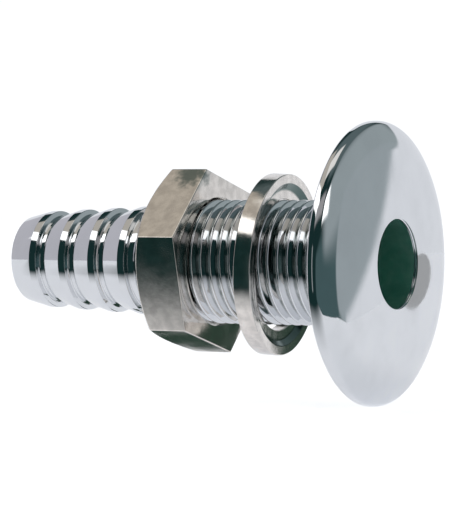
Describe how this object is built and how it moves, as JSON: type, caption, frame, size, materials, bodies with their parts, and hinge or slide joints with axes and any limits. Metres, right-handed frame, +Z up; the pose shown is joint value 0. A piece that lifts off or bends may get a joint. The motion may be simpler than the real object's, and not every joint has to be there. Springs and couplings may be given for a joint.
{
  "type": "thru hull fitting",
  "caption": "Chromed brass thru hull fitting: domed flange, threaded barrel and barbed hose tail in one piece, with a loose backing washer and a hexagon lock nut.",
  "frame": {"origin": "on the fitting's axis, in the plane of the flange's flat seat, which is the outer skin of the hull", "axes": "+X along the fitting's axis towards the domed outboard face, +Z up"},
  "size_m": [0.0711, 0.047, 0.047],
  "materials": {
    "chrome_body": "polished chrome plating on brass",
    "nickel_washer": "semi-polished nickel plating on brass",
    "nickel_nut": "semi-polished nickel plating on brass"
  },
  "bodies": {
    "fitting": {"fitting_body": "chrome_body"},
    "washer": {"backing_washer": "nickel_washer"},
    "nut": {"hex_nut": "nickel_nut"}
  },
  "joints": [
    {"name": "washer_slide", "type": "slide", "parent": "fitting", "child": "washer", "axis": [1, 0, 0], "range_m": [-0.0128, 0.011]},
    {"name": "nut_turn", "type": "hinge", "parent": "washer", "child": "nut", "pos_m": [-0.0327, 0, 0], "axis": [1, 0, 0], "range_deg": [-2520, 2160]}
  ],
  "couplings": [
    {"joint": "washer_slide", "follows": "nut_turn", "m_per_rad": 0.00028875}
  ]
}
